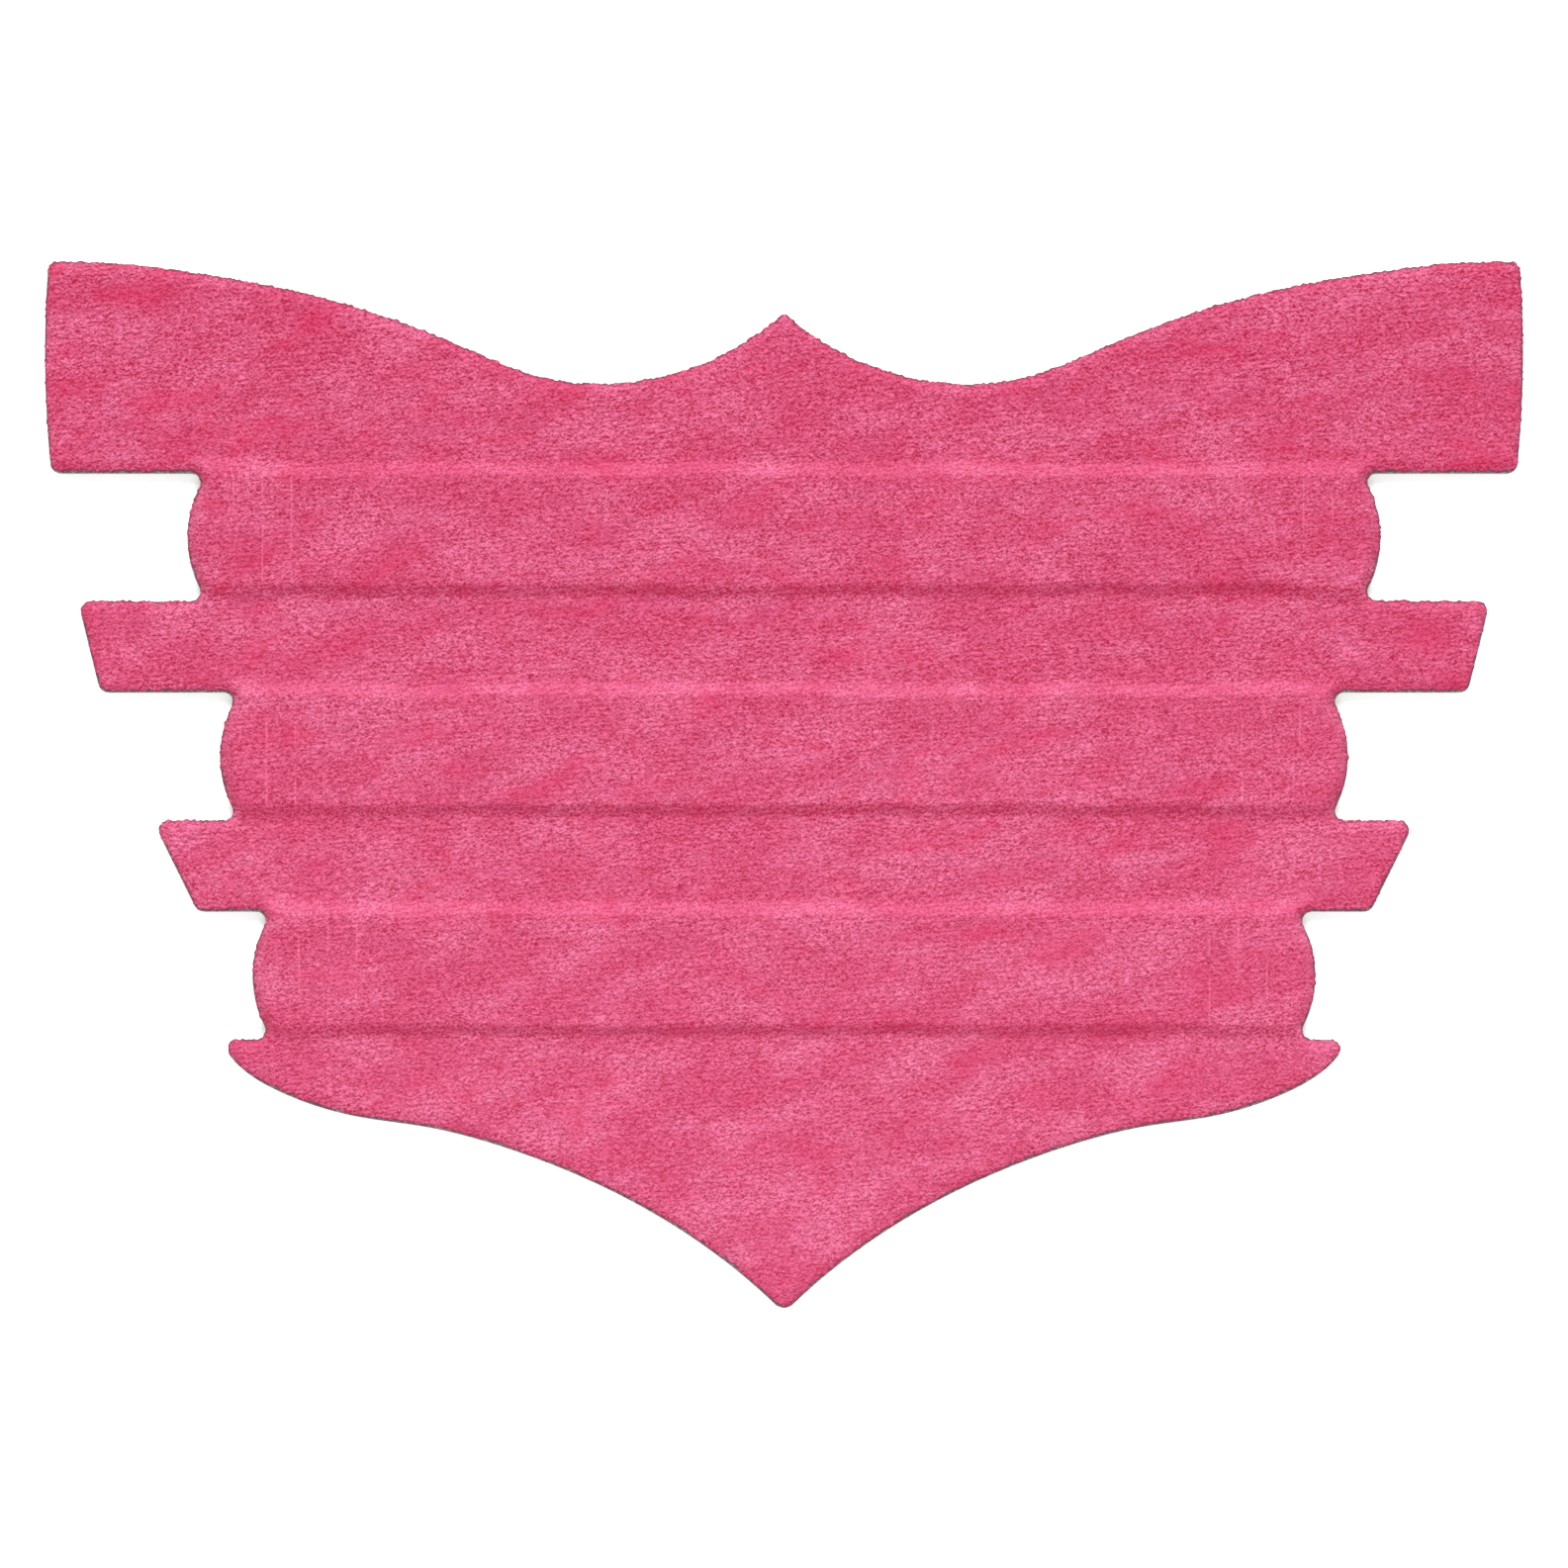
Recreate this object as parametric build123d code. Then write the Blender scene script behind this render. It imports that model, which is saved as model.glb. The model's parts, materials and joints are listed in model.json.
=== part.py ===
from build123d import *

import os
from math import cos, radians, tan

# A self-adhesive nasal strip for a horse, lying flat with its fabric face up. Millimetres.
#
# The strip is a stack of die-cut sheets that share one outline: a paper release liner at the bottom, then
# skin adhesive, a foam pad, three flat plastic springs, and a fabric cover draped over the springs as three
# raised bands. The strip bends down over the bridge of a nose, so each sheet is cut into rigid segments
# that hinge on lines parallel to Y in the bottom face. The liner is three pieces that each come off.
#
# The origin is in the liner's bottom face, under the middle of the strip. +X runs to the right wing,
# +Y to the small peak on the centre line, and +Z out of the fabric face.

# Sheet thicknesses, bottom to top, and the height at which each sheet starts
LINER_T = 0.15
ADHESIVE_T = 0.15
FOAM_T = 1.0
SPRING_T = 0.75
COVER_T = 0.5
ADHESIVE_Z = LINER_T
FOAM_Z = ADHESIVE_Z + ADHESIVE_T
SPRING_Z = FOAM_Z + FOAM_T

# Upper edge: a small peak, an arc down to a valley where the edge is level, then a long rise to the wing
PEAK_Y = 48.5
VALLEY = (19.1, 41.15)
RISE_POINTS = [(32.8, 44.92), (48.0, 50.2), (61.8, 52.8)]
WING_TOP = (75.65, 53.76)
WING_BOW = (76.0, 44.6)
WING_FOOT_X = 75.35

# Side edge: three notches, each filled by the scalloped end of a band, with two tabs between them
BANDS = ["top", "middle", "bottom"]
NOTCH_TOP_Y = 32.1
NOTCH_H = 13.25
BAND_PITCH = 22.55
SCALLOP_TIP_X = 61.35
SCALLOP_STEP_X = 3.35
SCALLOP_R = 11.3
TAB_TOP_X = [72.6, 64.9]
TAB_FOOT_X = [70.3, 60.3]

# Lower edge: from a barb, round a shoulder and down to the keel's point on the centre line
BARB_X = 58.0
KEEL_POINTS = [
    (56.4, -28.5),
    (51.1, -31.85),
    (44.0, -34.05),
    (37.0, -35.1),
    (29.8, -36.9),
    (14.5, -43.4),
    (6.5, -48.6),
]
KEEL_TIP_Y = -54.28

# Rounding of the outline's corners, of the peak and of the keel's point
CORNER_R = 1.0
PEAK_R = 0.5
KEEL_TIP_R = 1.3

# Springs, whose ends run parallel to the scallops, and the cover's drape over them, whose sides fall at
# DRAPE_DEG from the vertical. The springs lie BAND_RISE above the middle of the notches
SPRING_W = 11.0
SPRING_END_GAP = 1.6
SPRING_CORNER_R = 0.9
BAND_RISE = 0.6
DRAPE_DEG = 45.0
DRAPE_CLEARANCE = 0.05

# The strip bends at these distances from the centre line, and is rigid between them
HINGE_X = [9.2, 27.6, 46.0]
SEGMENT_WORDS = ["inner", "outer", "wing"]

# A length past every edge of the strip, and a distance within which two points are the same
REACH = 100.0
SAME = 0.01


def notch_top(band):
    """Y of the upper edge of a band's notch."""
    return NOTCH_TOP_Y - band * BAND_PITCH


def scallop_tip(band):
    """X of the outermost point of a band's scalloped end."""
    return SCALLOP_TIP_X - band * SCALLOP_STEP_X


def scallop_root(band):
    """X at which a band's scalloped end meets the notch above and below it."""
    half_chord = NOTCH_H / 2
    return scallop_tip(band) - (SCALLOP_R - (SCALLOP_R**2 - half_chord**2) ** 0.5)


def upper_edges():
    """The outline from the peak to the foot of the right wing."""
    peak = (0, PEAK_Y)
    drop = PEAK_Y - VALLEY[1]
    level_radius = (VALLEY[0] ** 2 + drop**2) / (2 * drop)
    wing_foot = (WING_FOOT_X, notch_top(0))
    return [
        RadiusArc(peak, VALLEY, -level_radius),
        Spline(VALLEY, *RISE_POINTS, WING_TOP, tangents=[(1, 0), (1, 0)]),
        ThreePointArc(WING_TOP, WING_BOW, wing_foot),
    ]


def side_edges():
    """The outline from the foot of the right wing, through the notches and tabs, to the barb."""
    starts = [WING_FOOT_X, *TAB_FOOT_X]
    ends = [*TAB_TOP_X, BARB_X]
    edges = []
    for band in range(len(BANDS)):
        top = notch_top(band)
        bottom = top - NOTCH_H
        root = scallop_root(band)
        edges.append(Line((starts[band], top), (root, top)))
        edges.append(ThreePointArc((root, top), (scallop_tip(band), (top + bottom) / 2), (root, bottom)))
        edges.append(Line((root, bottom), (ends[band], bottom)))
    for tab in range(len(TAB_TOP_X)):
        tab_top = (TAB_TOP_X[tab], notch_top(tab) - NOTCH_H)
        tab_foot = (TAB_FOOT_X[tab], notch_top(tab + 1))
        edges.append(Line(tab_top, tab_foot))
    return edges


def lower_edges():
    """The outline from the barb to the keel's point, and the centre line that closes the half."""
    barb = (BARB_X, notch_top(len(BANDS) - 1) - NOTCH_H)
    keel_tip = (0, KEEL_TIP_Y)
    return [
        Spline(barb, *KEEL_POINTS, keel_tip),
        Line(keel_tip, (0, PEAK_Y)),
    ]


def outline():
    """The die-cut outline that every sheet shares, as a face in the XY plane."""
    half = make_face(upper_edges() + side_edges() + lower_edges())
    corners = [vertex for vertex in half.vertices() if vertex.X > VALLEY[0] + SAME]
    half = fillet(corners, CORNER_R)
    whole = half + mirror(half, Plane.YZ)
    peak = whole.vertices().filter_by_position(Axis.X, -SAME, SAME).sort_by(Axis.Y)[-1]
    whole = fillet(peak, PEAK_R)
    keel_tip = whole.vertices().filter_by_position(Axis.X, -SAME, SAME).sort_by(Axis.Y)[0]
    return fillet(keel_tip, KEEL_TIP_R)


def band_plan(band, margin):
    """A spring's plan, grown by a margin on every side, at the height of the springs."""
    half_width = SPRING_W / 2 + margin
    end_radius = SCALLOP_R - SPRING_END_GAP + margin
    end_x = scallop_tip(band) - SPRING_END_GAP + margin
    corner_x = end_x - end_radius + (end_radius**2 - half_width**2) ** 0.5
    edges = [
        Line((-corner_x, -half_width), (corner_x, -half_width)),
        ThreePointArc((corner_x, -half_width), (end_x, 0), (corner_x, half_width)),
        Line((corner_x, half_width), (-corner_x, half_width)),
        ThreePointArc((-corner_x, half_width), (-end_x, 0), (-corner_x, -half_width)),
    ]
    plan = make_face(edges)
    plan = fillet(plan.vertices(), SPRING_CORNER_R + margin)
    centre_y = notch_top(band) - NOTCH_H / 2 + BAND_RISE
    return Pos(0, centre_y, SPRING_Z) * plan


def spring(band):
    """One flat spring, lying on the foam."""
    return extrude(band_plan(band, 0), SPRING_T)


def cover():
    """The fabric cover: flat on the foam, and draped over each spring with sloping sides."""
    run = SPRING_T * tan(radians(DRAPE_DEG))
    under = run + DRAPE_CLEARANCE
    over = under + COVER_T / cos(radians(DRAPE_DEG))
    plan = Pos(0, 0, SPRING_Z) * outline()
    sheet = extrude(plan, COVER_T)
    for band in range(len(BANDS)):
        sheet += extrude(band_plan(band, over), SPRING_T + COVER_T, taper=DRAPE_DEG)
    for band in range(len(BANDS)):
        sheet -= extrude(band_plan(band, under), SPRING_T, taper=DRAPE_DEG)
    return sheet & extrude(plan, SPRING_T + COVER_T)


def segments():
    """Each rigid segment's name and its span along X, from the centre outwards on each side."""
    spans = {"centre": (-HINGE_X[0], HINGE_X[0])}
    outer_ends = [*HINGE_X[1:], REACH]
    for word, start, end in zip(SEGMENT_WORDS, HINGE_X, outer_ends):
        spans[f"right_{word}"] = (start, end)
        spans[f"left_{word}"] = (-end, -start)
    return spans


def sheets():
    """Every sheet and spring of the strip in one piece, by name."""
    plan = outline()
    whole = {
        "liner": extrude(plan, LINER_T),
        "adhesive": extrude(Pos(0, 0, ADHESIVE_Z) * plan, ADHESIVE_T),
        "foam": extrude(Pos(0, 0, FOAM_Z) * plan, FOAM_T),
        "cover": cover(),
    }
    for band, word in enumerate(BANDS):
        whole[f"spring_{word}"] = spring(band)
    return whole


def write_parts():
    """Cut every sheet and spring at the hinge lines and write each piece."""
    os.makedirs("parts", exist_ok=True)
    for name, whole in sheets().items():
        for segment, (start, end) in segments().items():
            slab = Pos((start + end) / 2, 0, 0) * Box(end - start, 2 * REACH, 2 * REACH)
            piece = (whole & slab).solid()
            export_step(piece, f"parts/{name}_{segment}.step")


write_parts()
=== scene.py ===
import json
import math

import bpy
import numpy as np
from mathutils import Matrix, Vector, kdtree, noise
from mathutils.geometry import delaunay_2d_cdt

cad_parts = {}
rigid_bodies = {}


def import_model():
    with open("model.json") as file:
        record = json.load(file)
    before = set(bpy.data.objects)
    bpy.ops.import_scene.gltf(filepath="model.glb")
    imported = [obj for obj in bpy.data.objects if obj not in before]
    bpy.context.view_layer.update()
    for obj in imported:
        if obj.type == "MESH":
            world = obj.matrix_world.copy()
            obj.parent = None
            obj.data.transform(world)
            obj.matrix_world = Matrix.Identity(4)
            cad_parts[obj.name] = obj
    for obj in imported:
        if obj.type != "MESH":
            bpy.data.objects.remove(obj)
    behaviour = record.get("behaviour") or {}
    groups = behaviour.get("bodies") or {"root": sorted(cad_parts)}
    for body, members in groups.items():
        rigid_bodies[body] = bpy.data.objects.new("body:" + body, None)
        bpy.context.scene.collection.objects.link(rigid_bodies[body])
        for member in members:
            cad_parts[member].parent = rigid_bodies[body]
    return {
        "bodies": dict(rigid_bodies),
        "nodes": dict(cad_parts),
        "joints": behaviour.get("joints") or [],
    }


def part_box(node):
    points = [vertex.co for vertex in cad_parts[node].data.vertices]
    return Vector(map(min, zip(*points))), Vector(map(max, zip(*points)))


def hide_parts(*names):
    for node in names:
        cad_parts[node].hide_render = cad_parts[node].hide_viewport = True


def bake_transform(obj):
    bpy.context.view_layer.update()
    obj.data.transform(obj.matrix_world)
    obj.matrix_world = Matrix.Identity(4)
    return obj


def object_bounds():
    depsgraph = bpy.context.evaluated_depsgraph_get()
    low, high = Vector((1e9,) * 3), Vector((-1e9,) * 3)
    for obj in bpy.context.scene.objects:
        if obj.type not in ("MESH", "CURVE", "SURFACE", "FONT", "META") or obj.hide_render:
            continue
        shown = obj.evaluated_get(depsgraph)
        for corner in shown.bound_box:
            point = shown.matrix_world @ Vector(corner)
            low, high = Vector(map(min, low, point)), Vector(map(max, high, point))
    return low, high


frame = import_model()
cad_low, cad_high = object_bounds()

# A nasal strip for a horse, built as soft sheets around the rigid segments of the frame. Metres, with +Z out
# of the fabric face. The liner is slit on two hinge lines. Every other sheet is cut at the middles of the
# segments, so that each piece bends across one hinge.

MM = 0.001
SAME = 0.01 * MM
SIDES = {"left": -1, "right": 1}
BANDS = ("top", "middle", "bottom")
SEGMENTS = ("left_wing", "left_outer", "left_inner", "centre", "right_inner", "right_outer", "right_wing")

# Hinge lines by joint, the distance between them, how far from the centre line the strip still curves, where
# the liner is slit, and a place beyond the wing tips
HINGES = {joint["name"]: abs(joint["pos_m"][0]) for joint in frame["joints"] if joint["type"] == "hinge"}
PITCH = HINGES["right_flex_outer"] - HINGES["right_flex"]
BEND_END = HINGES["right_flex_wing"] + PITCH / 2
LINER_SPLIT = HINGES["right_flex_outer"]
REACH = cad_high.x * 1.2

# Undersides and tops of the layers
LINER_Z = [corner.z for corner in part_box("liner_centre")]
ADHESIVE_Z = [corner.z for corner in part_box("adhesive_centre")]
FOAM_Z = [corner.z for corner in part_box("foam_centre")]
SPRING_Z = [corner.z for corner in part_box("spring_top_centre")]
COVER_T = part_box("cover_centre")[1].z - SPRING_Z[1]

# Cover sheet: how far its slope runs out from a spring's edge, how much more slack it is near the spring's
# ends, where it comes down past them, and its pressed edge
SLOPE_OUT = 1.75 * MM
END_SLACK = 0.35
END_REACH = 14 * MM
END_DROP = 2 * MM
SHOULDER_W = 1.1 * MM
SHOULDER_DROP = 0.20 * MM
RIM_R = 0.3 * MM
RIM_DROP = 0.14 * MM

# The cut: how far the cover draws back from it, and how wide a band of fabric along it takes the painted
# shade of its fibre ends. The layers below show past it as a thin dark line, a little more on the tip's side.
CUT_BACK = 0.03 * MM
CUT_BAND = 0.35 * MM
LAYER_SHIFT = (0, -0.11 * MM)
LAYER_GROWTH = 0.02 * MM

# Unevenness of the brushed face, of the slopes' course and of the cut. Each swell has a height, a length and
# a width in millimetres, and a seed.
LOFT = ((0.035, 9, 5, 0), (0.022, 2.2, 1.3, 4), (0.040, 0.8, 0.5, 9))
WANDER = ((0.28, 9, 14, 2), (0.16, 2.4, 6, 3))
RAGGED = ((0.20, 0.38, 0.38, 0), (0.10, 1.4, 1.4, 0))

# Spacing of mesh points: on flat faces, on the fabric, along its cut, and in rows just inside the cut
FLAT_STEP = 1.5 * MM
FABRIC_STEP = 0.32 * MM
CUT_STEP = 0.15 * MM
CUT_ROWS = (0.07 * MM, 0.16 * MM, 0.3 * MM)


# ---- Plans taken from the frame ----

def plan_edges(node):
    """The edges round a CAD node's flat underside, as pairs of (x, y)."""
    mesh = frame["nodes"][node].data
    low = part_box(node)[0].z
    uses = {}
    for face in mesh.polygons:
        corners = [mesh.vertices[index].co for index in face.vertices]
        if max(corner.z for corner in corners) > low + SAME:
            continue
        points = [(round(corner.x, 7), round(corner.y, 7)) for corner in corners]
        for pair in zip(points, points[1:] + points[:1]):
            edge = frozenset(pair)
            uses[edge] = uses.get(edge, 0) + 1
    return [tuple(edge) for edge, count in uses.items() if count == 1 and len(edge) == 2]


def is_cut(edge):
    """True for an edge that lies on a hinge line, where a segment meets its neighbour."""
    (x_a, _), (x_b, _) = edge
    return abs(x_a - x_b) < SAME and any(abs(abs(x_a) - line) < SAME for line in HINGES.values())


def chain(edges):
    """Loose edges joined end to end into one closed loop of points."""
    ends = np.array(edges)
    free = np.ones(len(ends), bool)
    free[0] = False
    loop = [ends[0][1]]
    for _ in range(len(ends) - 1):
        gaps = np.linalg.norm(ends - loop[-1], axis=2)
        gaps[~free] = np.inf
        which, end = np.unravel_index(np.argmin(gaps), gaps.shape)
        free[which] = False
        loop.append(ends[which][1 - end])
    return np.array(loop)


def plan_of(layer):
    """The closed plan loop of a whole layer, from its seven segments."""
    edges = [edge for segment in SEGMENTS for edge in plan_edges(f"{layer}_{segment}") if not is_cut(edge)]
    return chain(edges)


def resample(loop, step):
    """The same closed loop with evenly spaced points, anticlockwise."""
    closed = np.vstack([loop, loop[:1]])
    area = np.sum(closed[:-1, 0] * closed[1:, 1] - closed[1:, 0] * closed[:-1, 1])
    if area < 0:
        closed = closed[::-1]
    along = np.concatenate([[0], np.cumsum(np.linalg.norm(np.diff(closed, axis=0), axis=1))])
    marks = np.linspace(0, along[-1], round(along[-1] / step), endpoint=False)
    return np.stack([np.interp(marks, along, closed[:, axis]) for axis in (0, 1)], axis=1)


def inward_normals(loop):
    """Unit normals at each point of an anticlockwise loop, pointing into it."""
    along = np.roll(loop, -1, axis=0) - np.roll(loop, 1, axis=0)
    normals = np.stack([-along[:, 1], along[:, 0]], axis=1)
    return normals / np.linalg.norm(normals, axis=1, keepdims=True)


def distances(tree, points):
    """Each point's distance to the loop that a search tree holds."""
    return np.array([tree.find((x, y, 0))[2] for x, y in points])


def swell_at(points, swells):
    """The sum of some swells at plan points, as a height."""
    total = np.zeros(len(points))
    for height, length, width, seed in swells:
        places = [(x / (length * MM), y / (width * MM), seed) for x, y in points]
        total += height * MM * np.array([noise.noise(place) for place in places])
    return total


class Plan:
    """A layer's outline, with what building sheets from it needs."""

    def __init__(self, loop, step, ragged=(), cut_back=0):
        self.loop = resample(loop, step)
        self.normals = inward_normals(self.loop)
        self.loop = self.loop + self.normals * (swell_at(self.loop, ragged)[:, None] + cut_back)
        fine = resample(self.loop, min(step, 0.1 * MM))
        self.tree = kdtree.KDTree(len(fine))
        for index, (x, y) in enumerate(fine):
            self.tree.insert((x, y, 0), index)
        self.tree.balance()

    def rings(self, insets):
        """Rows of points that follow the outline at each inset, clear of the rest of it."""
        rows = [self.loop + self.normals * inset for inset in insets]
        if not rows:
            return np.zeros((0, 2))
        points = np.vstack(rows)
        wanted = np.repeat(insets, len(self.loop))
        return points[distances(self.tree, points) > wanted * 0.8]

    def grid(self, step):
        """A staggered grid of points inside the outline, for nearly equal-sided triangles."""
        following = np.roll(self.loop, -1, axis=0)
        rows = []
        for row, y in enumerate(np.arange(self.loop[:, 1].min(), self.loop[:, 1].max(), step * 0.87)):
            crossing = (self.loop[:, 1] > y) != (following[:, 1] > y)
            a, b = self.loop[crossing], following[crossing]
            walls = np.sort(a[:, 0] + (y - a[:, 1]) * (b[:, 0] - a[:, 0]) / (b[:, 1] - a[:, 1]))
            shift = (row % 2) * step / 2
            for start, end in zip(walls[::2], walls[1::2]):
                xs = np.arange(math.ceil((start - shift) / step) * step + shift, end, step)
                rows.append(np.stack([xs, np.full(len(xs), y)], axis=1))
        points = np.vstack(rows)
        return points[distances(self.tree, points) > step * 0.45]


# ---- Sheets ----

def clip(loop, line, keep):
    """The part of a closed loop on one side of x = line. keep is 1 for the side above it, else -1."""
    result = []
    for a, b in zip(loop, np.roll(loop, -1, axis=0)):
        depth_a, depth_b = keep * (a[0] - line), keep * (b[0] - line)
        if depth_a >= 0:
            result.append(a)
        if depth_a * depth_b < 0:
            low, high = (a, b) if a[0] < b[0] else (b, a)
            share = (line - low[0]) / (high[0] - low[0])
            result.append(np.array([line, low[1] + share * (high[1] - low[1])]))
    return np.array(result)


def split_cuts(border, cuts, insets, step):
    """A border with points added along its straight edges on the cut lines, in rows that match the rings."""
    result = []
    for a, b in zip(border, np.roll(border, -1, axis=0)):
        result.append(a)
        if any(abs(a[0] - cut) < 1e-9 and abs(b[0] - cut) < 1e-9 for cut in cuts):
            length = abs(b[1] - a[1])
            first = (insets[-1] if insets else 0) + step / 2
            middle = np.linspace(first, length - first, round((length - 2 * first) / step) + 1)
            marks = np.concatenate([insets, middle, length - np.array(insets)[::-1]])
            result += [a + (b - a) * mark / length for mark in marks]
    return np.array(result)


def triangles(border, inner):
    """Triangles over a border and the points inside it, as (points, faces), the border's points first."""
    points = np.vstack([border, inner]) / MM
    rim = [(index, (index + 1) % len(border)) for index in range(len(border))]
    _, _, faces, sources, _, _ = delaunay_2d_cdt([Vector(point) for point in points], rim, [], 1, 1e-6)
    order = [source[0] for source in sources]
    return points * MM, [tuple(order[corner] for corner in face) for face in faces]


def sheet(name, plan, span, top, bottom, step, insets=(), rows=1):
    """A closed sheet over the part of a plan between two x values. top and bottom give heights at points,
    insets are the rings of points near the outline, and rows counts the rows of faces round the edge."""
    insets = list(insets)
    border = split_cuts(clip(clip(plan.loop, span[0], 1), span[1], -1), span, insets, step)
    inner = np.vstack([plan.rings(insets), plan.grid(step)])
    keep = (inner[:, 0] > span[0] + step * 0.4) & (inner[:, 0] < span[1] - step * 0.4)
    high_points, high_faces = triangles(border, inner[keep])
    under = plan.grid(max(step, FLAT_STEP))
    under = under[(under[:, 0] > span[0] + 0.6 * MM) & (under[:, 0] < span[1] - 0.6 * MM)]
    low_points, low_faces = triangles(border, under)
    upper = np.column_stack([high_points, top(high_points)])
    lower = np.column_stack([low_points, bottom(low_points)])
    count = len(border)
    layers = [upper]
    starts = [0]
    total = len(upper)
    for share in np.arange(1, rows) / rows:
        layers.append(upper[:count] * (1 - share) + lower[:count] * share)
        starts.append(total)
        total += count
    layers.append(lower)
    starts.append(total)
    faces = list(high_faces) + [tuple(total + corner for corner in face[::-1]) for face in low_faces]
    for high, low in zip(starts, starts[1:]):
        for index in range(count):
            after = (index + 1) % count
            faces.append((high + index, low + index, low + after, high + after))
    return make_piece(name, np.vstack(layers), faces)


def make_piece(name, vertices, faces):
    """A smooth mesh object that stores each point's rest position, which the bend and the materials read."""
    mesh = bpy.data.meshes.new(name)
    mesh.from_pydata(vertices.tolist(), [], faces)
    mesh.validate()
    mesh.shade_smooth()
    mesh.set_sharp_from_angle(angle=math.radians(50))
    places = np.zeros(len(mesh.vertices) * 3, np.float32)
    mesh.vertices.foreach_get("co", places)
    mesh.attributes.new("rest", "FLOAT_VECTOR", "POINT").data.foreach_set("vector", places)
    piece = bpy.data.objects.new(name, mesh)
    bpy.context.scene.collection.objects.link(piece)
    return piece


def mark_cut(piece, plan):
    """Stores how near each point is to the cut edge: 1 on it, 0 from CUT_BAND inwards."""
    points = np.array([vertex.co[:2] for vertex in piece.data.vertices])
    values = 1 - smooth(distances(plan.tree, points) / CUT_BAND)
    piece.data.attributes.new("cut", "FLOAT", "POINT").data.foreach_set("value", values.astype(np.float32))


def level(height):
    """Heights of a flat face."""
    return lambda points: np.full(len(points), height)


def smooth(share):
    """Eases a share from 0 to 1."""
    share = np.clip(share, 0, 1)
    return share * share * (3 - 2 * share)


def band_rise(points, depth):
    """How far the cover rises over the springs, from 0 to 1. It comes down again at the outline."""
    x, y = np.abs(points[:, 0]), points[:, 1] + swell_at(points, WANDER)
    rise = np.zeros(len(points))
    for band in BANDS:
        low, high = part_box(f"spring_{band}_centre")
        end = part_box(f"spring_{band}_right_wing")[1].x
        inside = (high.y - low.y) / 2 - np.abs(y - (low.y + high.y) / 2)
        slack = SLOPE_OUT * (1 + END_SLACK * smooth((x - end + END_REACH) / END_REACH))
        across = smooth((inside + slack) / slack) ** 1.5
        rise = np.maximum(rise, across * (1 - smooth((x - end) / END_DROP)))
    return rise * smooth(depth / SHOULDER_W)


def cover_top(plan):
    """Heights of the cover's brushed face."""
    def heights(points):
        depth = distances(plan.tree, points)
        rise = band_rise(points, depth) * (SPRING_Z[1] - SPRING_Z[0])
        shoulder = SHOULDER_DROP * (1 - smooth(depth / SHOULDER_W))
        rim = RIM_DROP * (1 - np.sqrt(1 - (1 - np.clip(depth / RIM_R, 0, 1)) ** 2))
        loft = swell_at(points, LOFT) * smooth(depth / MM)
        return FOAM_Z[1] + COVER_T + rise - shoulder - rim + loft
    return heights


def cover_bottom(plan):
    """Heights of the cover's underside, which rests on the foam and on the springs."""
    def heights(points):
        depth = distances(plan.tree, points)
        return FOAM_Z[1] + band_rise(points, depth) * (SPRING_Z[1] - SPRING_Z[0])
    return heights


# ---- Bending ----

class Number:
    """A number inside a node tree, with ordinary arithmetic."""

    def __init__(self, tree, socket):
        self.tree, self.socket = tree, socket

    def math(self, operation, *others):
        made = self.tree.nodes.new("ShaderNodeMath")
        made.operation = operation
        for socket, value in zip(made.inputs, (self,) + others):
            if isinstance(value, Number):
                self.tree.links.new(value.socket, socket)
            else:
                socket.default_value = value
        return Number(self.tree, made.outputs[0])

    def __add__(self, other):
        return self.math("ADD", other)

    def __sub__(self, other):
        return self.math("SUBTRACT", other)

    def __mul__(self, other):
        return self.math("MULTIPLY", other)

    def __truediv__(self, other):
        return self.math("DIVIDE", other)

    def sin(self):
        return self.math("SINE")

    def cos(self):
        return self.math("COSINE")


def add(tree, kind, links=None, **settings):
    """Adds a node with settings, and links or sets its inputs."""
    made = tree.nodes.new(kind)
    for name, value in settings.items():
        setattr(made, name, value)
    for name, value in (links or {}).items():
        value = value.socket if isinstance(value, Number) else value
        if isinstance(value, bpy.types.NodeSocket):
            tree.links.new(value, made.inputs[name])
        else:
            made.inputs[name].default_value = value
    return made


def parts_of(tree, vector):
    """The x, y and z of a vector socket as numbers."""
    made = add(tree, "ShaderNodeSeparateXYZ", {0: vector})
    return [Number(tree, socket) for socket in made.outputs]


def body_state(tree, body):
    """A body's place and its turn about Y, as it stands in the pose."""
    info = add(tree, "GeometryNodeObjectInfo", {"Object": frame["bodies"][body]}, transform_space="ORIGINAL")
    turn = add(tree, "FunctionNodeRotationToEuler", {0: info.outputs["Rotation"]})
    return parts_of(tree, info.outputs["Location"]), parts_of(tree, turn.outputs[0])[1]


def bent(x, z, turn):
    """The place of a point x out from the centre line and z up, once each hinge on its side has turned."""
    turn = turn.math("MAXIMUM", 1e-6)
    along = x.math("MINIMUM", BEND_END)
    beyond = x - along
    slope = turn * along / PITCH
    radius = (turn * 0.5).math("TANGENT").math("POWER", -1) * (PITCH / 2)
    half = (slope * 0.5).sin()
    out = radius * slope.sin() + beyond * slope.cos() + z * slope.sin()
    up = z * slope.cos() - beyond * slope.sin() - radius * half * half * 2
    return out, up


def new_tree(name):
    """A geometry node group with one geometry in and one out."""
    tree = bpy.data.node_groups.new(name, "GeometryNodeTree")
    tree.interface.new_socket("Geometry", in_out="INPUT", socket_type="NodeSocketGeometry")
    tree.interface.new_socket("Geometry", in_out="OUTPUT", socket_type="NodeSocketGeometry")
    return tree, add(tree, "NodeGroupInput"), add(tree, "NodeGroupOutput")


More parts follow.
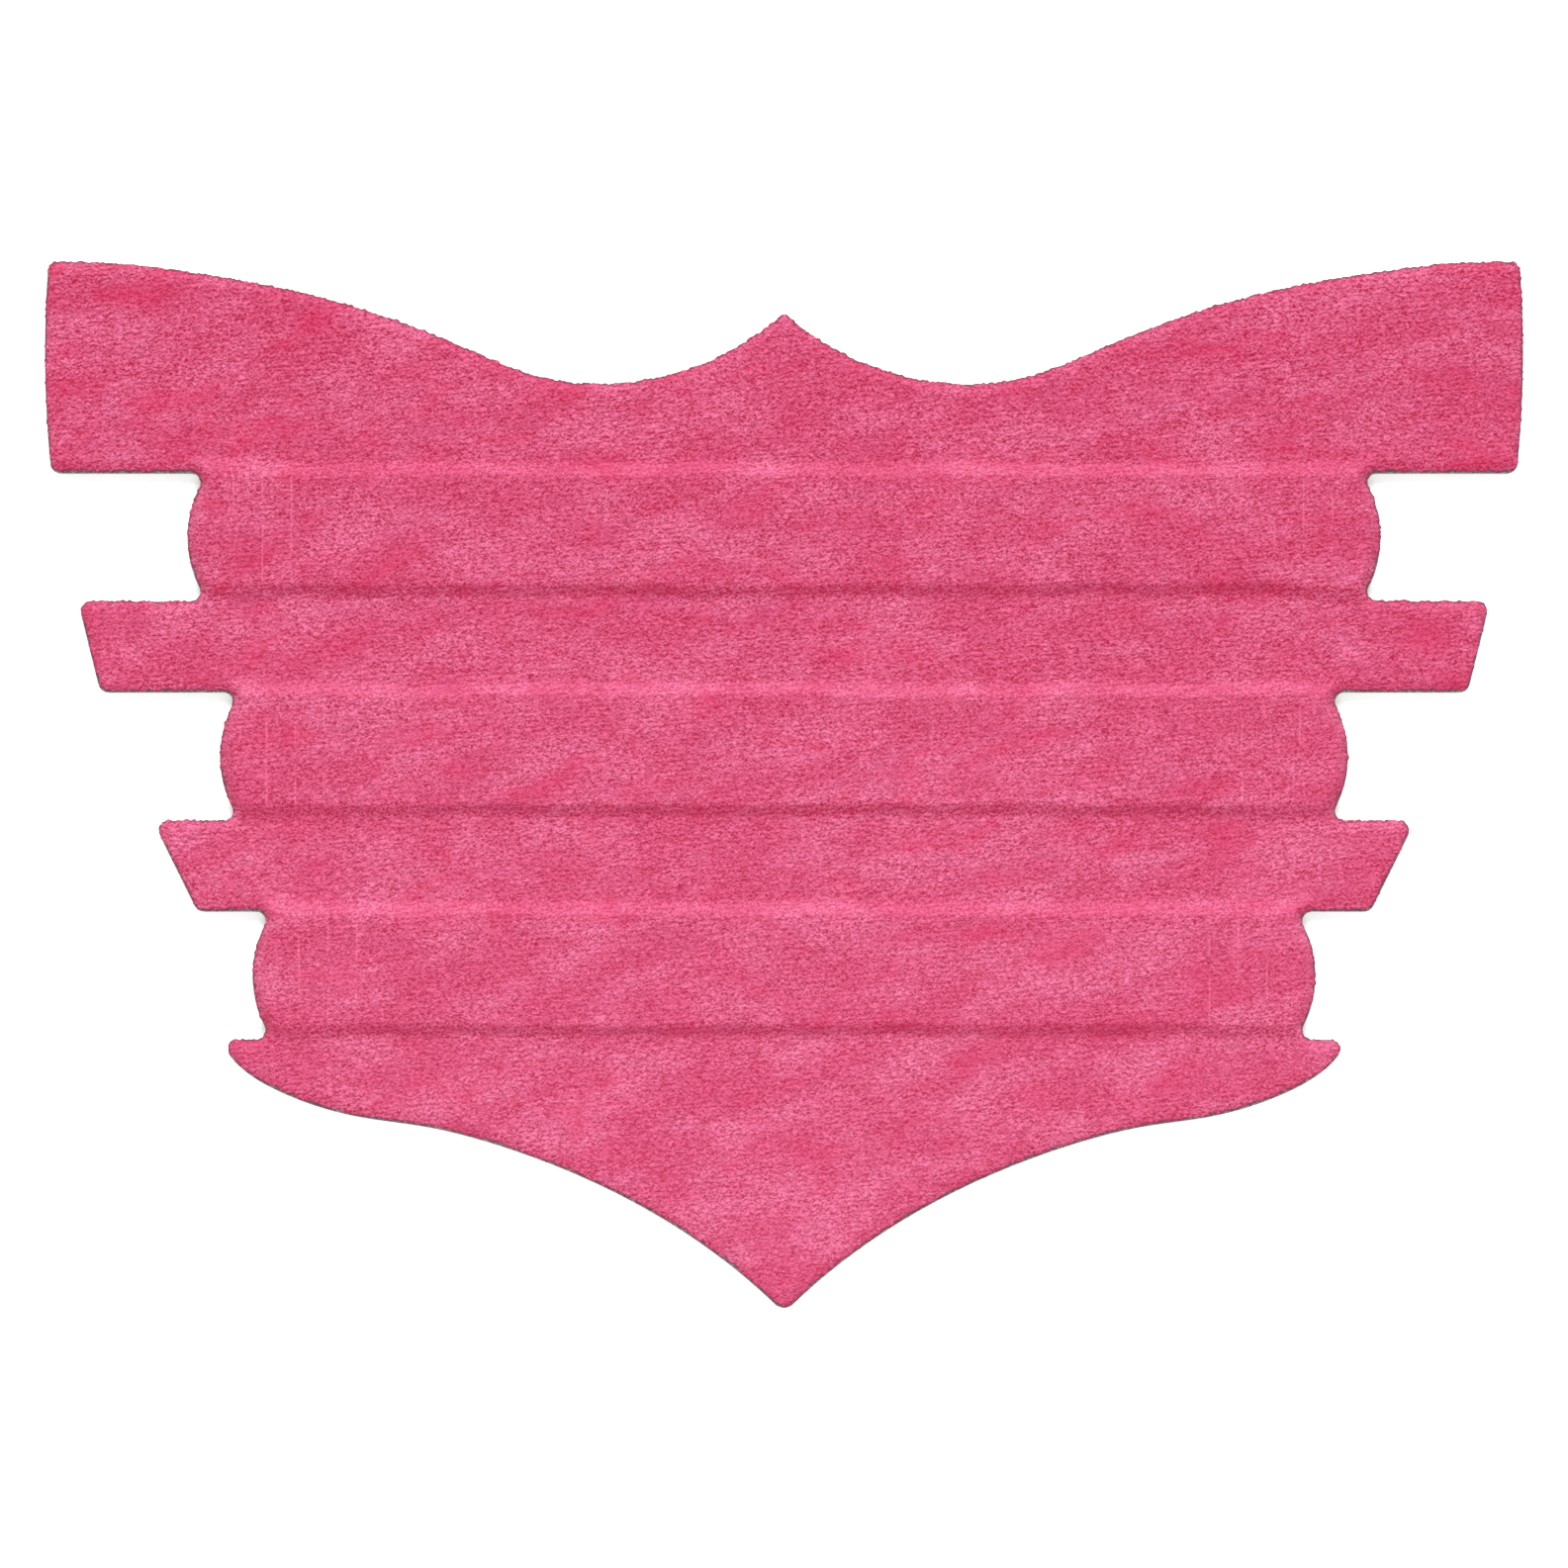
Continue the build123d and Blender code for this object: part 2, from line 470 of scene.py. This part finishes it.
def add_bend(piece, side, body):
    """Curves a piece smoothly as its side's hinges turn, and slides it with its body."""
    tree, start, end = new_tree(f"bend_{piece.name}")
    sign = SIDES[side]
    rest = add(tree, "GeometryNodeInputNamedAttribute", {"Name": "rest"}, data_type="FLOAT_VECTOR")
    x, y, z = parts_of(tree, rest.outputs["Attribute"])
    _, turn = body_state(tree, f"{side}_inner")
    place, _ = body_state(tree, body)
    out, up = bent(x * sign, z, turn * sign)
    spot = add(tree, "ShaderNodeCombineXYZ", {"X": out * sign, "Y": y + place[1], "Z": up})
    moved = add(tree, "GeometryNodeSetPosition", {"Geometry": start.outputs[0], "Position": spot.outputs[0]})
    tree.links.new(moved.outputs[0], end.inputs[0])
    piece.modifiers.new("bend", "NODES").node_group = tree


def place_piece(piece, layer, side, first, second, span, slot):
    """Finishes a piece: hides the CAD segments it stands for, gives it its material, and bends it with its
    side's hinges and slides it with its first body.
    """
    sign = SIDES[side]
    sign * span[0]
    sign * span[1]
    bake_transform(piece)
    segments = [body.replace("liner_", "") for body in (first, second)]
    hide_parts(*[f"{layer}_{segment}" for segment in segments])
    piece.data.materials.append(MATERIALS[slot])
    add_bend(piece, side, first)


# ---- Materials ----

def new_material(name):
    """A node material, its tree and its surface shader."""
    material = bpy.data.materials.new(name)
    material.use_nodes = True
    tree = material.node_tree
    return material, tree, tree.nodes["Principled BSDF"]


def rest_in_mm(tree):
    """Each point's rest position in millimetres, so that a pattern stays on the piece as it bends."""
    rest = add(tree, "ShaderNodeAttribute", attribute_name="rest")
    return add(tree, "ShaderNodeVectorMath", {0: rest.outputs["Vector"], 1: (1000, 1000, 1000)},
               operation="MULTIPLY").outputs[0]


def pattern(tree, place, size, turn=0, detail=2, roughness=0.5, distortion=0):
    """Noise from 0 to 1 whose blobs have the given size in millimetres, turned in plan by some degrees."""
    turned = (0, 0, math.radians(turn))
    spot = add(tree, "ShaderNodeMapping", {"Vector": place, "Rotation": turned, "Scale": size},
               vector_type="TEXTURE")
    made = add(tree, "ShaderNodeTexNoise", {"Vector": spot.outputs[0], "Scale": 1, "Detail": detail,
                                            "Roughness": roughness, "Distortion": distortion})
    return Number(tree, made.outputs[0])


def ranged(value, low, high, to_low=0, to_high=1):
    """A value stretched from one range to another and held inside it, easing at both ends."""
    made = add(value.tree, "ShaderNodeMapRange", {"Value": value, "From Min": low, "From Max": high,
                                                  "To Min": to_low, "To Max": to_high},
               interpolation_type="SMOOTHSTEP")
    return Number(value.tree, made.outputs[0])


def mixed(tree, share, first, second):
    """A colour between two colours."""
    made = add(tree, "ShaderNodeMix", {0: share, 6: first, 7: second}, data_type="RGBA")
    return made.outputs[2]


def painted(tree, shader, colour, roughness):
    """Gives a shader its colour and roughness."""
    tree.links.new(colour, shader.inputs["Base Color"])
    shader.inputs["Roughness"].default_value = roughness


def bumped(tree, shader, height, distance):
    """Gives a shader a bump of the given depth in metres."""
    bump = add(tree, "ShaderNodeBump", {"Height": height, "Distance": distance, "Strength": 1})
    tree.links.new(bump.outputs[0], shader.inputs["Normal"])


# Cover fabric, in millimetres: how far apart its rows of fibres lie, how they slant and sway, and how much of
# the pile they make up beside the tufts
ROW_PITCH = 0.52
ROW_SLANT = 0.08
ROW_SWAY = 18
ROW_SHARE = 0.45

# How strongly a slope's facing paints highlight on slopes towards the peak, where the key light is, and shade
# on slopes towards the tip, and at most how much of each; how fast a slope towards the tip is painted with
# the red ground as shade; and how much lighter the colour is painted towards the tip
SLOPE_LIGHT_TURN = 0.42
SLOPE_SHADE_MAX = 0.19
SLOPE_LIGHT_MAX = 0.17
SLOPE_SHADE_RED_TURN = 1.8
PAINTED_LIGHT_TO_TIP = 0.0014

# Hairlines pressed across each band near its ends: the gap from the spring's end to the first, the gap
# between them, how far in they go on, and how strong they are
PRESS_FIRST = 3.4
PRESS_PITCH = 2.95
PRESS_REACH = 7
PRESS_STRENGTH = 0.2

# Its colours, from the ground under the fibres to the pressed hairlines and the painted shade of the fibre
# ends at the cut
GROUND = (0.310, 0.002, 0.032, 1)
# The redder ground: the real red patches, and painted shade on slopes that face the tip
RED_AND_SHADED_GROUND = (0.385, 0.008, 0.050, 1)
LILAC_GROUND = (0.330, 0.031, 0.098, 1)
HAIR = (0.650, 0.107, 0.224, 1)
PALE_HAIR = (0.730, 0.170, 0.318, 1)
PRESSED_HAIR = (0.88, 0.26, 0.42, 1)
# Painted shade of the fibre ends along the cut
CUT_SHADE = (0.13, 0.030, 0.055, 1)


def band_hairlines(x, y, band):
    """Where one band's hairlines run at x and y in millimetres: 1 on a line, 0 away from it."""
    low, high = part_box(f"spring_{band}_right_wing")
    inward = x.math("ABSOLUTE") * -1 + (high.x / MM - PRESS_FIRST)
    line = ranged(inward.math("PINGPONG", PRESS_PITCH / 2), 0.04, 0.13, 1, 0)
    zone = ranged(inward, -0.3, -0.15) * ranged(inward, PRESS_REACH - 0.5, PRESS_REACH, 1, 0)
    half = (high.y - low.y) / 2 / MM
    across = (y - (low.y + high.y) / 2 / MM).math("ABSOLUTE")
    return line * zone * ranged(across, half - 0.1, half + 0.3, 1, 0)


def pressed_lines(tree, place):
    """Faint broken hairlines across the bands near the springs' ends: 1 on a line, 0 away from it."""
    x, y, _ = parts_of(tree, place)
    x = x + pattern(tree, place, (3, 3, 3), detail=1) * 0.2
    top, middle, bottom = [band_hairlines(x, y, band) for band in BANDS]
    return (top + middle + bottom) * ranged(pattern(tree, place, (1.2, 3.5, 3), detail=1), 0.42, 0.56)


def fibre_rows(tree, place):
    """How far the curled fibres stand up at each point: wavy rows broken up by small tufts, from 0 to 1."""
    x, y, _ = parts_of(tree, place)
    sway = pattern(tree, place, (0.34, 0.50, 0.5), 6, 2, 0.55)
    rows = ((y - x * ROW_SLANT) * (2 * math.pi / ROW_PITCH) + sway * ROW_SWAY).sin() * 0.5 + 0.5
    tufts = ranged(pattern(tree, place, (0.36, 0.22, 0.4), 10, 1, 0.5, 0.5), 0.25, 0.75)
    return rows * ROW_SHARE + tufts * (1 - ROW_SHARE)


def cut_shade_flecks(tree, place):
    """Dark flecks painted along the cut as the shade of its fibre ends."""
    cut = Number(tree, add(tree, "ShaderNodeAttribute", attribute_name="cut").outputs["Fac"])
    return cut * ranged(pattern(tree, place, (0.45, 0.45, 0.45), 0, 2, 0.6), 0.35, 0.55)


def cover_fabric():
    """Brushed non-woven: fine curled fibres, pale over a deeper pink, in drawn-out light and red patches.
    Slopes that face the peak, where the key light stands, are painted with more of the pale fibres as a
    highlight, and slopes that face the tip with more of the red ground as painted shade."""
    material, tree, shader = new_material("cover_fabric")
    place = rest_in_mm(tree)
    red = ranged(pattern(tree, place, (8, 3.6, 9), 12, 2, 0.5, 0.5), 0.48, 0.78)
    pale = ranged(pattern(tree, place, (9, 4, 9), 10, 3, 0.55), 0.38, 0.66)
    lilac = ranged(pattern(tree, place, (7, 2.2, 9), 14, 3, 0.6, 0.5), 0.50, 0.72)
    fibres = fibre_rows(tree, place) * (red * -0.4 + 1)
    _, y, _ = parts_of(tree, place)
    _, facing, _ = parts_of(tree, add(tree, "ShaderNodeNewGeometry").outputs["Normal"])
    # Painted light and shade: slopes facing the peak, towards the key light, get more pale fibres, and slopes
    # facing the tip fewer
    slope_light = (facing * SLOPE_LIGHT_TURN).math("MAXIMUM", -SLOPE_SHADE_MAX).math("MINIMUM", SLOPE_LIGHT_MAX)
    # Painted light: more pale fibres towards the tip, where more light falls
    share = (fibres + slope_light - y * PAINTED_LIGHT_TO_TIP).math("MAXIMUM", 0).math("MINIMUM", 1)
    # Painted shade: slopes facing the tip take the redder ground, which also colours the real red patches
    red_and_shade = red.math("MAXIMUM", (facing * -SLOPE_SHADE_RED_TURN).math("MINIMUM", 1))
    ground = mixed(tree, red_and_shade, GROUND, RED_AND_SHADED_GROUND)
    ground = mixed(tree, lilac * 0.45, ground, LILAC_GROUND)
    colour = mixed(tree, share, ground, mixed(tree, pale, HAIR, PALE_HAIR))
    colour = mixed(tree, pressed_lines(tree, place) * PRESS_STRENGTH, colour, PRESSED_HAIR)
    # Painted shade: dark flecks along the cut stand in for the shade of the fibre ends
    colour = mixed(tree, cut_shade_flecks(tree, place), colour, CUT_SHADE)
    painted(tree, shader, colour, 0.9)
    shader.inputs["Specular IOR Level"].default_value = 0.15
    shader.inputs["Sheen Weight"].default_value = 0.15
    shader.inputs["Sheen Roughness"].default_value = 0.5
    shader.inputs["Sheen Tint"].default_value = (1, 0.55, 0.72, 1)
    bumped(tree, shader, fibres, 0.12 * MM)
    return material


def foam_pad():
    """Grey closed-cell foam: the cut leaves its fine cells open, each pit painted darker as shade inside a
    pale wall.
    """
    material, tree, shader = new_material("foam_pad")
    place = rest_in_mm(tree)
    cells = add(tree, "ShaderNodeTexVoronoi", {"Vector": place, "Scale": 4.5})
    wall = ranged(Number(tree, cells.outputs["Distance"]), 0.15, 0.65)
    shade = ranged(pattern(tree, place, (2, 2, 2)), 0.3, 0.7)
    colour = mixed(tree, shade, (0.23, 0.22, 0.22, 1), (0.31, 0.30, 0.30, 1))
    # Painted shade: the pits of the cut cells are painted dark
    colour = mixed(tree, wall, (0.13, 0.12, 0.125, 1), colour)
    painted(tree, shader, colour, 0.85)
    bumped(tree, shader, wall, 0.10 * MM)
    return material


def skin_adhesive():
    """A thin film of clear, slightly yellow adhesive with a satin face."""
    material, tree, shader = new_material("skin_adhesive")
    place = rest_in_mm(tree)
    flow = ranged(pattern(tree, place, (3, 1.4, 2), 5, 3), 0.3, 0.7)
    colour = mixed(tree, flow, (0.70, 0.66, 0.56, 1), (0.78, 0.75, 0.67, 1))
    painted(tree, shader, colour, 0.38)
    bumped(tree, shader, flow, 0.03 * MM)
    return material


def spring_polymer():
    """Milky flat polymer spring stock, faintly drawn along its length."""
    material, tree, shader = new_material("spring_polymer")
    place = rest_in_mm(tree)
    drawn = ranged(pattern(tree, place, (12, 0.4, 2), 0, 2), 0.3, 0.7)
    colour = mixed(tree, drawn, (0.74, 0.76, 0.76, 1), (0.80, 0.82, 0.82, 1))
    painted(tree, shader, colour, 0.22)
    shader.inputs["Subsurface Weight"].default_value = 0.2
    shader.inputs["Subsurface Scale"].default_value = 0.5 * MM
    bumped(tree, shader, drawn, 0.01 * MM)
    return material


def liner_paper():
    """Siliconised release paper: pale buff, cloudy where the pulp lies thicker, with short darker fibres."""
    material, tree, shader = new_material("liner_paper")
    place = rest_in_mm(tree)
    cloud = ranged(pattern(tree, place, (2.5, 2.0, 2), 0, 4, 0.6), 0.3, 0.7)
    pulp = ranged(pattern(tree, place, (0.9, 0.12, 1), 25, 2, 0.5, 1.5), 0.62, 0.74)
    colour = mixed(tree, cloud, (0.46, 0.425, 0.34, 1), (0.53, 0.50, 0.415, 1))
    colour = mixed(tree, pulp * 0.5, colour, (0.34, 0.29, 0.21, 1))
    painted(tree, shader, colour, 0.45)
    bumped(tree, shader, cloud, 0.02 * MM)
    return material


def floor_card():
    """Matt white studio card, lit a little from behind as on a light table."""
    material, tree, shader = new_material("floor_card")
    shader.inputs["Base Color"].default_value = (0.92, 0.92, 0.92, 1)
    shader.inputs["Roughness"].default_value = 0.9
    shader.inputs["Specular IOR Level"].default_value = 0.1
    shader.inputs["Emission Color"].default_value = (1, 1, 1, 1)
    shader.inputs["Emission Strength"].default_value = FLOOR_GLOW
    return material


MATERIALS = {
    "cover_fabric": cover_fabric(),
    "foam_pad": foam_pad(),
    "skin_adhesive": skin_adhesive(),
    "spring_polymer": spring_polymer(),
    "liner_paper": liner_paper(),
}


# ---- The strip ----

def bodies_between(side):
    """The neighbouring bodies that each piece of a side joins, from the centre line out."""
    chain_out = ["centre", f"{side}_inner", f"{side}_outer", f"{side}_wing"]
    return list(zip(chain_out, chain_out[1:]))


def build_strip_layer(layer, slot, plan, top, bottom, step, insets=(), rows=1):
    """One layer of the strip in three pieces a side. Each piece joins two neighbouring segments."""
    for side, sign in SIDES.items():
        for index, (first, second) in enumerate(bodies_between(side)):
            near, far = index * PITCH, (index + 1) * PITCH
            edge = REACH if second.endswith("wing") else far
            span = sorted((sign * near, sign * edge))
            name = f"{layer}_{second}_piece"
            piece = sheet(name, plan, span, top, bottom, step, insets, rows)
            if layer == "cover":
                mark_cut(piece, plan)
            place_piece(piece, layer, side, first, second, (near, far), slot)


def build_flat_layer(layer, slot, plan, heights, rows=1):
    """A strip layer with flat faces at two heights."""
    build_strip_layer(layer, slot, plan, level(heights[1]), level(heights[0]), FLAT_STEP, rows=rows)


def build_liner(plan):
    """The release liner in three pieces with two slits. The middle one is made in two halves."""
    faces = level(LINER_Z[1]), level(LINER_Z[0])
    for side, sign in SIDES.items():
        near = sorted((0, sign * LINER_SPLIT))
        middle = sheet(f"liner_{side}_middle", plan, near, *faces, FLAT_STEP)
        place_piece(middle, "liner", side, "liner_centre", f"liner_{side}_inner", (0, PITCH), "liner_paper")
        far = sorted((sign * LINER_SPLIT, sign * REACH))
        end = sheet(f"liner_{side}_end", plan, far, *faces, FLAT_STEP)
        bodies = (f"liner_{side}_outer", f"liner_{side}_wing")
        place_piece(end, "liner", side, *bodies, (2 * PITCH, 3 * PITCH), "liner_paper")


outline = plan_of("foam")
flat_plan = Plan(outline + np.array(LAYER_SHIFT), 0.4 * MM, cut_back=-LAYER_GROWTH)
cover_plan = Plan(outline, CUT_STEP, RAGGED, CUT_BACK)
spring_plans = [Plan(plan_of(f"spring_{band}"), 0.5 * MM) for band in BANDS]

build_liner(flat_plan)
build_flat_layer("adhesive", "skin_adhesive", flat_plan, ADHESIVE_Z)
build_flat_layer("foam", "foam_pad", flat_plan, FOAM_Z, rows=2)
for band, spring_plan in zip(BANDS, spring_plans):
    build_flat_layer(f"spring_{band}", "spring_polymer", spring_plan, SPRING_Z)
build_strip_layer("cover", "cover_fabric", cover_plan, cover_top(cover_plan), cover_bottom(cover_plan),
                  FABRIC_STEP, CUT_ROWS, rows=2)


# ---- Studio ----

CAMERA_LENS = 120
VIEW_WIDTH = 161.26 * MM
FLOOR_SIZE = 8
FLOOR_GAP = 0.1 * MM
FLOOR_GLOW = 0.17
SURROUNDINGS = 0.85

# Each light's place, size and power: a broad one from beyond the peak, and a small weak one from the tip
KEY = ((0, 1.2, 1.2), 0.8, 26)
FILL = ((0, -0.54, 0.66), 0.3, 2.0)


def build_floor():
    """A pale card under the strip. It sinks as the wings bend down, so that the strip always stands on it."""
    bpy.ops.mesh.primitive_plane_add(size=FLOOR_SIZE, location=(0, 0, 0))
    floor = bpy.context.object
    floor.name = "floor"
    floor.data.materials.append(floor_card())
    tree, start, end = new_tree("floor_level")
    turns = [body_state(tree, f"{side}_inner")[1] * sign for side, sign in SIDES.items()]
    turn = turns[0].math("MAXIMUM", turns[1])
    _, tip = bent(turn * 0 + cad_high.x, turn * 0, turn)
    spot = add(tree, "ShaderNodeCombineXYZ", {"Z": tip - FLOOR_GAP})
    moved = add(tree, "GeometryNodeSetPosition", {"Geometry": start.outputs[0], "Offset": spot.outputs[0]})
    tree.links.new(moved.outputs[0], end.inputs[0])
    floor.modifiers.new("floor_level", "NODES").node_group = tree


def build_light(name, place, size, power):
    """A soft square light that points at the strip."""
    lamp = bpy.data.lights.new(name, "AREA")
    lamp.shape = "SQUARE"
    lamp.size = size
    lamp.energy = power
    light = bpy.data.objects.new(name, lamp)
    light.location = place
    light.rotation_euler = (-Vector(place)).to_track_quat("-Z", "Y").to_euler()
    bpy.context.scene.collection.objects.link(light)


def build_camera():
    """A long lens straight above the strip, with the peak towards the top of the picture."""
    lens = bpy.data.cameras.new("camera")
    lens.lens = CAMERA_LENS
    lens.clip_start = 0.01
    camera = bpy.data.objects.new("camera", lens)
    camera.location = (0, 0, VIEW_WIDTH * CAMERA_LENS / lens.sensor_width + FOAM_Z[1])
    bpy.context.scene.collection.objects.link(camera)
    bpy.context.scene.camera = camera


def build_world():
    """Even white surroundings."""
    world = bpy.data.worlds.new("studio")
    world.use_nodes = True
    world.node_tree.nodes["Background"].inputs["Color"].default_value = (1, 1, 1, 1)
    world.node_tree.nodes["Background"].inputs["Strength"].default_value = SURROUNDINGS
    bpy.context.scene.world = world


build_floor()
build_light("key", *KEY)
build_light("fill", *FILL)
build_camera()
build_world()
bpy.context.scene.view_settings.view_transform = "Standard"

bpy.context.view_layer.update()
